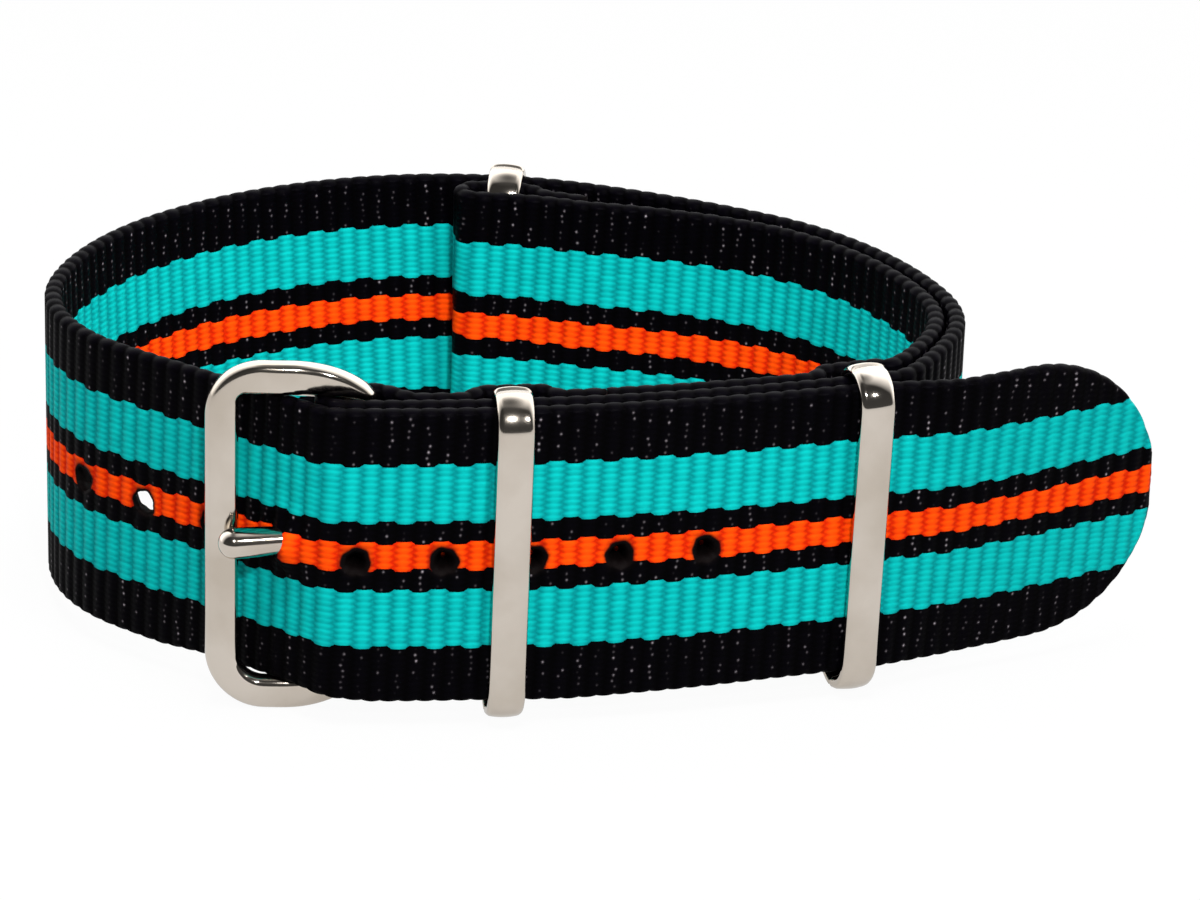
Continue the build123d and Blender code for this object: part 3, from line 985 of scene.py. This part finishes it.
def short_strap_path():
    """Middle of the short strap, from its start at the flap to the end of its welded end lap."""
    half = webbing / 2
    run_length = keeper_end_at - end_lap
    shares = [0] + [share for share, _ in near_face_shares] + [1]
    at_keeper = second_back + pocket - second_layer
    near = [at_keeper] + [depth * webbing for _, depth in near_face_shares] + [end_near]

    def start(distance):
        to_keeper = (distance - (keeper_middle_at - pocket_half - ramp)) / ramp
        return front(distance, second_back + weld_gap + pocket * eased(to_keeper) + half)

    def inside(distance):
        return loop(distance, np.interp(distance / run_length, shares, near) + half)

    def lap_back(distance):
        drop = (end_near - webbing - second_layer) * eased((distance - 3.8) / 2.8)
        return loop(keeper_end_at + pocket_half - distance, second_layer + drop + half)

    points = run(start, short_start, loop_start)
    points += run(inside, 0, run_length)[2:]
    points += run(lambda d: loop(d, end_near + half), run_length, keeper_end_at + pocket_half)
    _, _, turn = loop_turn(keeper_end_at + pocket_half)
    fold_x, fold_y = loop(keeper_end_at + pocket_half, end_fold_middle)
    reach = end_fold_inner + half
    points += run(
        lambda a: (
            fold_x + reach * (cos(a) * -sin(turn) + sin(a) * cos(turn)),
            fold_y + reach * (cos(a) * cos(turn) + sin(a) * sin(turn)),
        ),
        0, pi, 0.05,
    )
    points += run(lap_back, 0, pocket_half + end_lap)
    return StrapPath(points, 12)


short_path = short_strap_path()
short_strap = webbing_mesh("short_strap_webbing", short_path, striped_nylon)
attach(short_strap, "strap")
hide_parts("short_strap")


# Keepers: three like bands of flat stainless strip, bent round with tight corners and welded shut
# behind. Each is held in a pocket of webbing and has the tail, or the loop, running through it.
keeper_height = 25.3
keeper_middle_z = 12.7
keeper_thickness = 1.0
keeper_room = 0.1
keeper_clearance = 0.2
keeper_depth = second_back + keeper_room + keeper_clearance + 2 * keeper_band
keeper_corner = 2.4
keeper_edge = 0.38
keeper_crown = 0.35
keeper_shift = -0.47


def keeper_tree():
    """A crowned band swept round a rectangle with round corners, then stood up and put in place."""
    group, tree, given, put_out = node_group(
        "keeper_band",
        {
            "Height": keeper_height * MM,
            "Depth": keeper_depth * MM,
            "Strip width": keeper_width * MM,
            "Strip thickness": keeper_thickness * MM,
            "Corner": keeper_corner * MM,
            "Edge": keeper_edge * MM,
            "Crown": keeper_crown,
            "Lean": 0.0,
            "Turn": 0.0,
            "Place": (0.0, 0.0, 0.0),
        },
        ["Geometry"], "GeometryNodeTree", "NodeSocketGeometry",
    )

    def rounded_rectangle(width, height, corner, steps):
        sides = tree.add("GeometryNodeCurvePrimitiveQuadrilateral", {"Width": width, "Height": height})
        inputs = {"Curve": sides.outputs["Curve"], "Count": steps, "Radius": corner}
        return tree.add("GeometryNodeFilletCurve", inputs, mode="POLY").outputs["Curve"]

    middle_depth = tree.math("SUBTRACT", given["Depth"], given["Strip thickness"])
    middle_height = tree.math("SUBTRACT", given["Height"], given["Strip thickness"])
    round_path = rounded_rectangle(middle_depth, middle_height, given["Corner"], 9)
    strip = rounded_rectangle(given["Strip thickness"], given["Strip width"], given["Edge"], 5)
    spaced = tree.add("GeometryNodeResampleCurve", {"Curve": strip, "Count": 60})
    position = tree.add("GeometryNodeInputPosition", {}).outputs["Position"]
    where = tree.add("ShaderNodeSeparateXYZ", {"Vector": position}).outputs
    half_strip = tree.math("MULTIPLY", given["Strip width"], 0.5)
    out_share = tree.math("DIVIDE", where["Y"], half_strip)
    fall = tree.math("MULTIPLY", tree.math("POWER", out_share, 2.0), given["Crown"])
    inwards = tree.math("MULTIPLY", where["X"], -1.0)
    thinner = tree.add("ShaderNodeCombineXYZ", {"X": tree.math("MULTIPLY", inwards, fall)})
    crowned = tree.add("GeometryNodeSetPosition", {
        "Geometry": spaced.outputs["Curve"], "Offset": thinner.outputs["Vector"],
    })
    sweep = tree.add("GeometryNodeCurveToMesh", {
        "Curve": round_path, "Profile Curve": crowned.outputs["Geometry"],
    })
    askew = tree.add("ShaderNodeCombineXYZ", {"Y": given["Lean"]}).outputs["Vector"]
    turned = tree.add("ShaderNodeCombineXYZ", {"Z": given["Turn"]}).outputs["Vector"]
    band = sweep.outputs["Mesh"]
    for kind, inputs in (
        ("GeometryNodeTransform", {"Rotation": (pi / 2, 0, pi / 2)}),
        ("GeometryNodeTransform", {"Rotation": askew}),
        ("GeometryNodeTransform", {"Rotation": turned, "Translation": given["Place"]}),
        ("GeometryNodeSetShadeSmooth", {}),
        ("GeometryNodeRealizeInstances", {}),
        ("GeometryNodeSetMaterial", {"Material": polished_steel}),
    ):
        band = tree.add(kind, {"Geometry": band, **inputs}).outputs["Geometry"]
    tree.fill(put_out, {"Geometry": band})
    return group


def grown_mesh(name, tree, values):
    """Runs a Geometry Nodes tree with these input values and keeps the result as a plain mesh."""
    seed = placed(name + "_seed", bpy.data.meshes.new(name + "_seed"))
    modifier = seed.modifiers.new("grow", "NODES")
    modifier.node_group = tree
    for item in tree.interface.items_tree:
        if item.in_out == "INPUT" and item.name in values:
            modifier[item.identifier] = values[item.name]
    bpy.context.view_layer.update()
    evaluated = seed.evaluated_get(bpy.context.evaluated_depsgraph_get())
    mesh = bpy.data.meshes.new_from_object(evaluated)
    mesh.name = name
    bpy.data.objects.remove(seed)
    return placed(name, mesh)


keeper_band_tree = keeper_tree()
end_spot = settled(*loop(keeper_end_at, 0))
end_turn = loop_turn(keeper_end_at)[2]
front_turn = front_heading + keeper_front_at / front_radius
middle_turn = front_heading + keeper_middle_at / front_radius
keeper_places = [
    ("keeper_front", front(keeper_front_at + keeper_shift, 0), front_turn, 0.7, "front_keeper"),
    ("keeper_middle", front(keeper_middle_at + keeper_shift, 0), middle_turn, 1.2, "middle_keeper"),
    ("keeper_end", end_spot, end_turn, -1.0, "end_keeper"),
]
for keeper_name, (spot_x, spot_y), turn, lean_degrees, body in keeper_places:
    inwards = keeper_depth / 2 - keeper_band - keeper_clearance
    keeper = grown_mesh(keeper_name + "_steel", keeper_band_tree, {
        "Lean": radians(lean_degrees),
        "Turn": turn,
        "Place": (
            (spot_x - inwards * sin(turn)) * MM,
            (spot_y + inwards * cos(turn)) * MM,
            keeper_middle_z * MM,
        ),
    })
    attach(keeper, body)
    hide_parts(keeper_name)


# Stage: a white table in a pale room, with small lamps in front and above, as for a catalogue. The
# camera looks down at the front of the strap; it is rolled because the real strap stood askew.
floor_colour = (0.18, 0.18, 0.18, 1)
floor_half = 2
white = (1, 1, 1, 1)
lamp_aim = (0, 0, 10)
behind_table = [(0, 0.8), (0.15, 0.95), (0.93, 0.95), (0.99, 0.2), (1, 0.1)]
round_camera = [(0, 0.03), (0.6, 0.02), (0.85, 0.02), (1, 0.05)]
camera_distance = 365.94
camera_tilt = radians(22.5)
camera_roll = radians(1.81)
focal_pixels = 4920.4
picture_width = 1200


def seen_directly(tree, straight, mirrored):
    """How white the table shows to the camera itself, and in metal or through glass."""
    path = tree.add("ShaderNodeLightPath", {}).outputs
    in_steel = tree.math("MULTIPLY", path["Is Glossy Ray"], mirrored)
    through = tree.math("MULTIPLY_ADD", path["Is Transmission Ray"], mirrored, in_steel)
    return tree.math("MULTIPLY_ADD", path["Is Camera Ray"], straight, through, clamp=True)


def white_table():
    """Pale matt paper that shows nearly white, with only a faint shadow left on it."""
    material, tree, paper = new_material("white_table")
    tree.fill(paper.inputs, {"Base Color": floor_colour, "Roughness": 0.8})
    glow = tree.add("ShaderNodeEmission", {"Color": white, "Strength": 1.04})
    blend = tree.add("ShaderNodeMixShader", {
        "Fac": seen_directly(tree, 0.92, 0.63), 1: paper.outputs["BSDF"], 2: glow.outputs["Emission"],
    })
    tree.fill(tree.nodes["Material Output"].inputs, {"Surface": blend.outputs["Shader"]})
    return material


floor_mesh = bpy.data.meshes.new("floor")
floor_corners = [(x * floor_half, y * floor_half, 0) for x, y in ((-1, -1), (1, -1), (1, 1), (-1, 1))]
floor_mesh.from_pydata(floor_corners, [], [(0, 1, 2, 3)])
floor_mesh.materials.append(white_table())
floor = placed("floor", floor_mesh)


def soft_lamp(name, place, width, power):
    """A square area lamp, placed in millimetres and aimed at the strap."""
    lamp = bpy.data.lights.new(name, "AREA")
    lamp.shape = "RECTANGLE"
    lamp.size = width * MM
    lamp.size_y = width * MM
    lamp.energy = power
    holder = placed(name, lamp)
    holder.location = Vector(place) * MM
    holder.rotation_euler = (Vector(lamp_aim) - Vector(place)).to_track_quat("-Z", "Y").to_euler()
    return holder


soft_lamp("front_lamp", (60, -420, 350), 30, 2.1)
soft_lamp("right_lamp", (370, -440, 400), 22, 1.5)
top_lamp = soft_lamp("top_lamp", (0, -60, 300), 120, 1.8)
top_lamp.visible_glossy = False


def room_shades(tree, height, shades):
    """How bright the room is by height, from the horizon at 0 to straight up at 1."""
    return colour_ramp(tree, height, [(place, (shade, shade, shade, 1)) for place, shade in shades])


def studio_world():
    """A room that is bright behind the table and dark where the camera stands; white to look at."""
    world = bpy.data.worlds.new("studio")
    world.use_nodes = True
    tree = Wiring(world.node_tree)
    direction = tree.add("ShaderNodeTexCoord", {}).outputs["Generated"]
    parts = tree.add("ShaderNodeSeparateXYZ", {"Vector": direction}).outputs
    ahead = tree.math("MULTIPLY_ADD", parts["Y"], -1.6, 0.5, clamp=True)
    behind, near = (room_shades(tree, parts["Z"], shades) for shades in (behind_table, round_camera))
    room = tree.nodes["Background"]
    tree.fill(room.inputs, {"Color": tree.mixed(ahead, behind, near), "Strength": 2.2})
    plain = tree.add("ShaderNodeBackground", {"Color": white})
    chosen = tree.add("ShaderNodeMixShader", {
        "Fac": tree.add("ShaderNodeLightPath", {}).outputs["Is Camera Ray"],
        1: room.outputs["Background"],
        2: plain.outputs["Background"],
    })
    tree.fill(tree.nodes["World Output"].inputs, {"Surface": chosen.outputs["Shader"]})
    return world


bpy.context.scene.world = studio_world()

aim_at = Vector((0.35, -5.21, 13.2)) * MM
camera_data = bpy.data.cameras.new("camera")
camera_data.sensor_width = 36
camera_data.lens = focal_pixels * camera_data.sensor_width / picture_width
camera_data.clip_start = 0.01
camera = placed("camera", camera_data)
camera.location = aim_at + Vector((0, -cos(camera_tilt), sin(camera_tilt))) * camera_distance * MM
toward = (aim_at - camera.location).to_track_quat("-Z", "Y")
camera.rotation_euler = (toward @ Matrix.Rotation(camera_roll, 3, "Z").to_quaternion()).to_euler()
bpy.context.scene.camera = camera
bpy.context.scene.view_settings.view_transform = "Standard"
